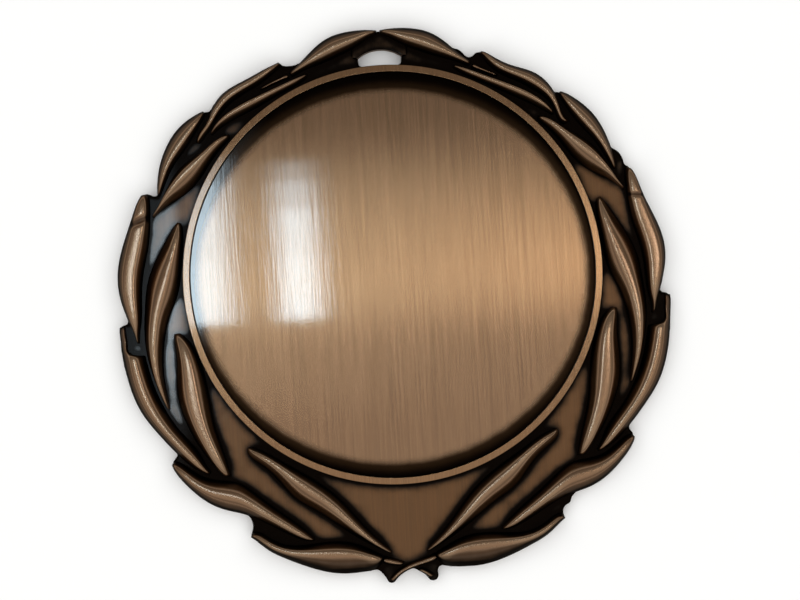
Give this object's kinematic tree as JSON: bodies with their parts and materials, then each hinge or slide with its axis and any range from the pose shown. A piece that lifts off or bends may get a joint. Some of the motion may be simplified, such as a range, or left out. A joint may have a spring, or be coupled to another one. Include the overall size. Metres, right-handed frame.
{
  "type": "laurel wreath medal",
  "caption": "Flat die-cast award medal: a raised laurel wreath around a shallow round recess for a centre insert, with a small ribbon slot at the top.",
  "frame": {"origin": "on the flat back, under the centre of the round recess", "axes": "+Z out of the medal's face, +Y towards the ribbon slot at the top, +X to the right seen from the face"},
  "size_m": [0.0698, 0.07, 0.004],
  "materials": {
    "plate_bronze": "dark antique bronze patina",
    "leaf_bronze": "antique bronze, relieved bright on the crests",
    "ring_bronze": "antique bronze, flat and brushed",
    "disc_bronze": "brushed bronze with a dark patina at the rim"
  },
  "bodies": {
    "root": {"back_plate": "plate_bronze", "bezel_ring": "ring_bronze", "centre_disc": "disc_bronze", "leaf_left_01": "leaf_bronze", "leaf_left_02": "leaf_bronze", "leaf_left_03": "leaf_bronze", "leaf_left_04": "leaf_bronze", "leaf_left_05": "leaf_bronze", "leaf_left_06": "leaf_bronze", "leaf_left_07": "leaf_bronze", "leaf_left_08": "leaf_bronze", "leaf_left_09": "leaf_bronze", "leaf_left_10": "leaf_bronze", "leaf_left_11": "leaf_bronze", "leaf_left_12": "leaf_bronze", "leaf_right_01": "leaf_bronze", "leaf_right_02": "leaf_bronze", "leaf_right_03": "leaf_bronze", "leaf_right_04": "leaf_bronze", "leaf_right_05": "leaf_bronze", "leaf_right_06": "leaf_bronze", "leaf_right_07": "leaf_bronze", "leaf_right_08": "leaf_bronze", "leaf_right_09": "leaf_bronze", "leaf_right_10": "leaf_bronze", "leaf_right_11": "leaf_bronze", "leaf_right_12": "leaf_bronze", "ribbon_bar": "plate_bronze", "stalk_left": "leaf_bronze", "stalk_right": "leaf_bronze", "stem_left": "leaf_bronze", "stem_left_foot": "leaf_bronze", "stem_right": "leaf_bronze"}
  },
  "joints": []
}
